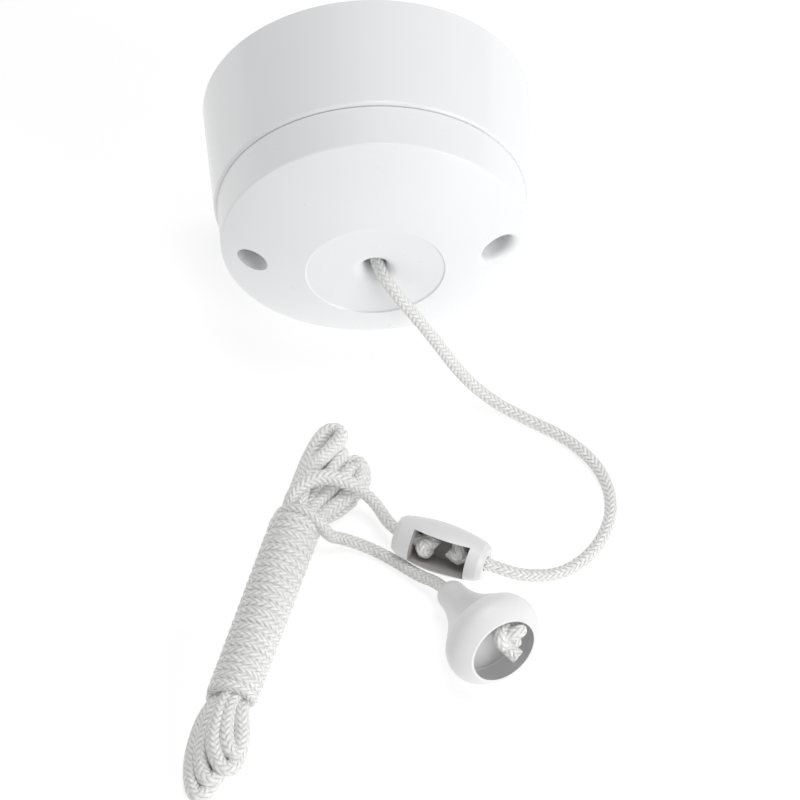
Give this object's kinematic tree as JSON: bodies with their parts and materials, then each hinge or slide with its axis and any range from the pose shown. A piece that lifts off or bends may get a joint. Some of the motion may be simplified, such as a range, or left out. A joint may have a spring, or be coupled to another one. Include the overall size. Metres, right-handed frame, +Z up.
{
  "type": "ceiling pull cord switch",
  "caption": "Round two-part ceiling switch with a ratchet mechanism, braided pull cord, barrel connector, tied cord hank and bell-shaped pull, lying on its side.",
  "frame": {"origin": "centre of the base's flat back, the face that meets the ceiling", "axes": "+Y points from the switch into the ceiling along the switch's axis, and the cord leaves along -Y; +Z is up as the switch lies on its side on the table; +X is to the right"},
  "size_m": [0.1113, 0.1812, 0.086],
  "materials": {
    "base_plastic": "gloss",
    "cover_plastic": "gloss",
    "cover_screw_steel": "white coated head",
    "housing_plastic": "satin",
    "nylon": "satin",
    "connector_plastic": "semi-gloss",
    "bell_plastic": "semi-gloss",
    "cord": "braided nylon, slight sheen",
    "brass": "bright",
    "contact_brass": "bright",
    "contact_silver": "satin",
    "steel": "zinc plated",
    "spring_steel": "bright"
  },
  "bodies": {
    "switch": {"mounting_base": "base_plastic", "post_inserts": "brass", "earth_terminal": "brass", "earth_screw": "steel", "cover": "cover_plastic", "cover_screws": "cover_screw_steel", "mechanism_body": "housing_plastic", "mechanism_plate": "housing_plastic", "mechanism_screws": "steel", "terminal_1": "brass", "terminal_2": "brass", "terminal_3": "brass", "terminal_screws": "steel", "cam_axle": "steel", "arm_pin": "steel", "common_strip": "contact_brass", "fixed_contact": "contact_brass", "detent_spring": "spring_steel", "return_spring": "spring_steel"},
    "pull": {"plunger": "nylon", "pawl": "nylon", "inner_knot": "cord", "cord_inner": "cord", "cord_short": "cord", "knot_upper": "cord", "knot_lower": "cord", "cord_to_hank": "cord", "cord_hank": "cord", "cord_to_bell": "cord", "bell_knot": "cord"},
    "ratchet": {"ratchet_wheel": "nylon", "cam": "nylon"},
    "arm": {"contact_arm": "contact_brass", "contact_tip": "contact_silver"},
    "connector_body": {"connector": "connector_plastic"},
    "bell_body": {"bell_pull": "bell_plastic"}
  },
  "joints": [
    {"name": "cord_pull", "type": "slide", "parent": "switch", "child": "pull", "axis": [0, -1, 0], "range_m": [0, 0.008], "stiffness_N_per_m": 600, "springref_m": -0.01, "deforming": ["return_spring"]},
    {"name": "ratchet_turn", "type": "hinge", "parent": "switch", "child": "ratchet", "pos_m": [0, -0.032, -0.009], "axis": [1, 0, 0], "range_deg": [0, 45.2]},
    {"name": "contact_rock", "type": "hinge", "parent": "switch", "child": "arm", "pos_m": [0, -0.04, -0.0047], "axis": [1, 0, 0], "range_deg": [-5.2, 0]},
    {"name": "connector_spin", "type": "hinge", "parent": "pull", "child": "connector_body", "pos_m": [0.00305, -0.1084, -0.0364], "axis": [0.9063, -0.4226, 0], "continuous": true},
    {"name": "bell_spin", "type": "hinge", "parent": "pull", "child": "bell_body", "pos_m": [0.0272, -0.1482, -0.02885], "axis": [0.4636, -0.8364, 0.2924], "continuous": true}
  ],
  "couplings": [
    {"joint": "ratchet_turn", "follows": "cord_pull", "rad_per_m": 98.17},
    {"joint": "contact_rock", "follows": "cord_pull", "rad_per_m": -10.91}
  ]
}
